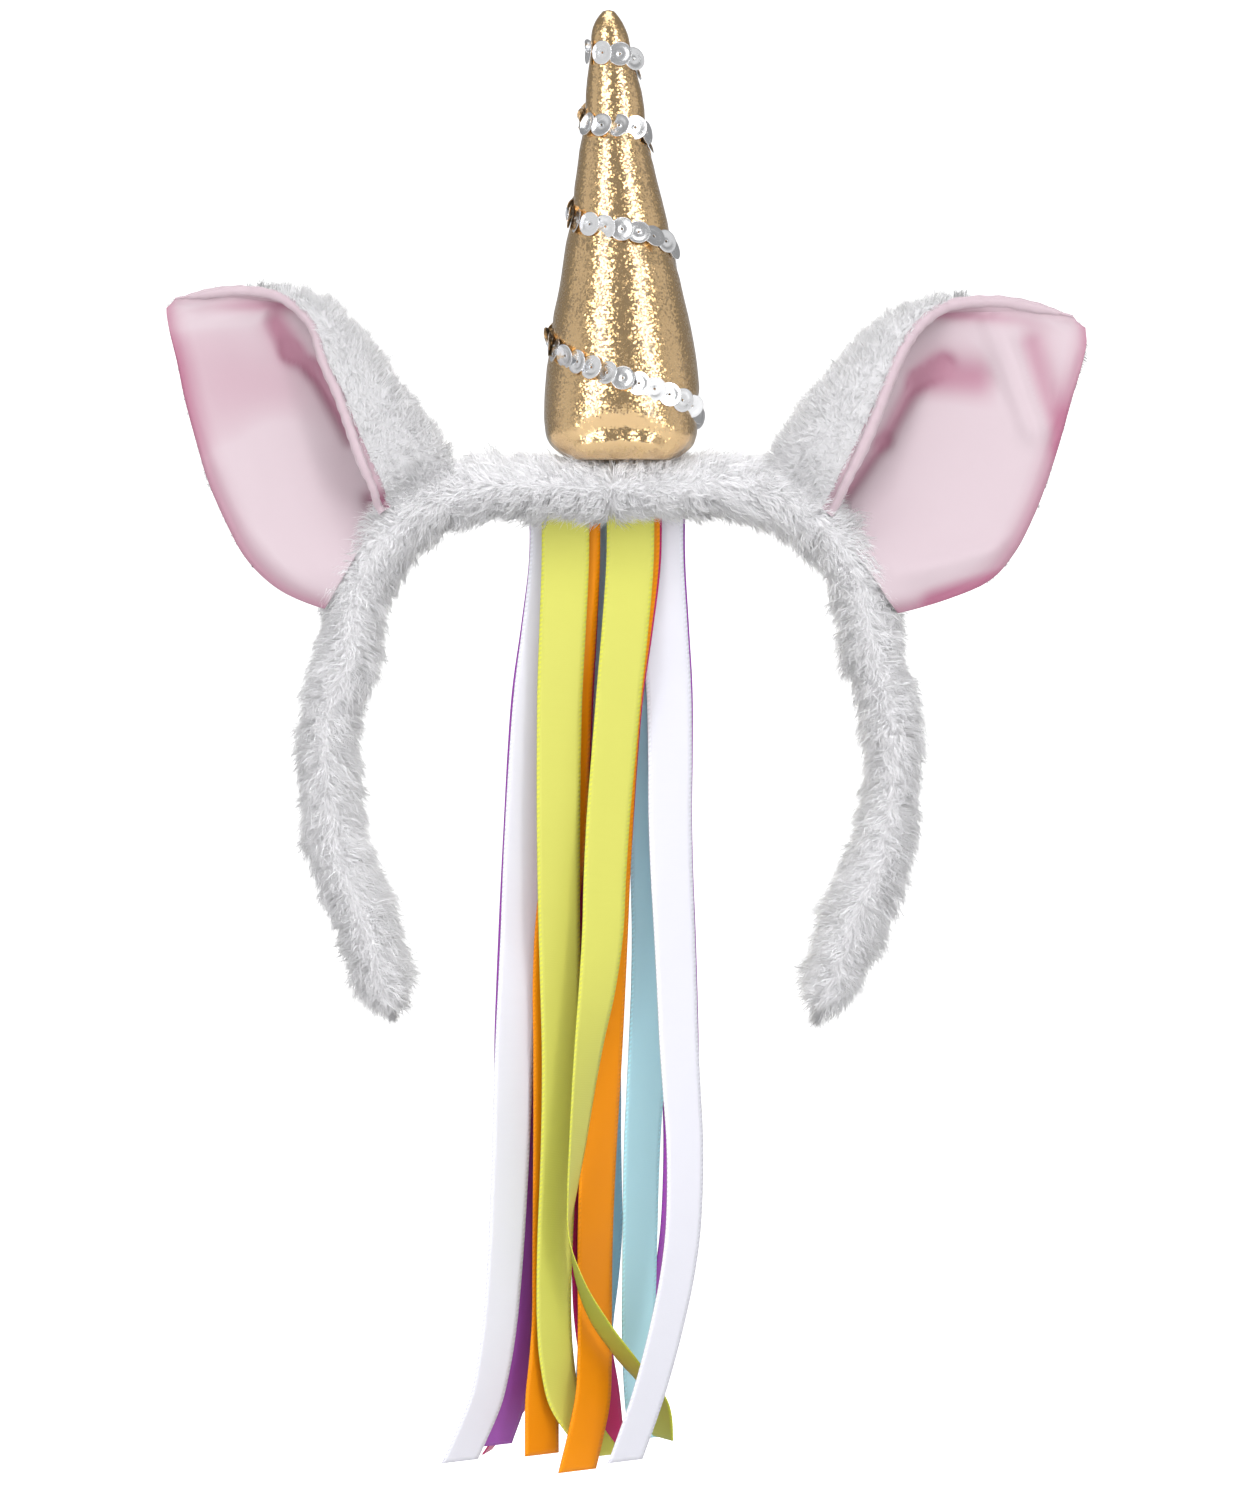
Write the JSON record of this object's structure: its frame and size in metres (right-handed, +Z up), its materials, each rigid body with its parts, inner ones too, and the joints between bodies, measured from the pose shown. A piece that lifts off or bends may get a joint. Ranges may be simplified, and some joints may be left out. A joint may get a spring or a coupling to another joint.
{
  "type": "unicorn horn headband",
  "caption": "Plush-covered headband with a stuffed gold horn wound with sequins, two folded ears and satin ribbons hanging behind the crown.",
  "frame": {"origin": "the underside of the band at the crown, in the middle of its width and depth, where it sits on the head", "axes": "+Z up along the horn, +X to the right as seen from the front, -Y to the front, where the pink insides of the ears face"},
  "size_m": [0.23, 0.0759, 0.3704],
  "materials": {
    "white_plush": "short white plush pile",
    "pink_satin": "pale pink satin",
    "gold_foil": "gold foil on a fine knit",
    "silver_sequin": "silver metallised cup sequins",
    "green_satin": "lime green satin ribbon",
    "orange_satin": "orange satin ribbon",
    "magenta_satin": "deep pink satin ribbon",
    "aqua_satin": "pale aqua satin ribbon",
    "white_satin": "white satin ribbon",
    "purple_satin": "purple satin ribbon"
  },
  "bodies": {
    "root": {"band": "white_plush", "ear_left_back": "white_plush", "ear_left_lining": "pink_satin", "ear_right_back": "white_plush", "ear_right_lining": "pink_satin", "horn": "gold_foil", "sequin_string": "silver_sequin", "ribbon_green_left": "green_satin", "ribbon_green_right": "green_satin", "ribbon_orange_left": "orange_satin", "ribbon_orange_right": "orange_satin", "ribbon_magenta_left": "magenta_satin", "ribbon_magenta_right": "magenta_satin", "ribbon_aqua_left": "aqua_satin", "ribbon_aqua_right": "aqua_satin", "ribbon_white_left": "white_satin", "ribbon_white_right": "white_satin", "ribbon_purple_left": "purple_satin", "ribbon_purple_right": "purple_satin"}
  },
  "joints": []
}
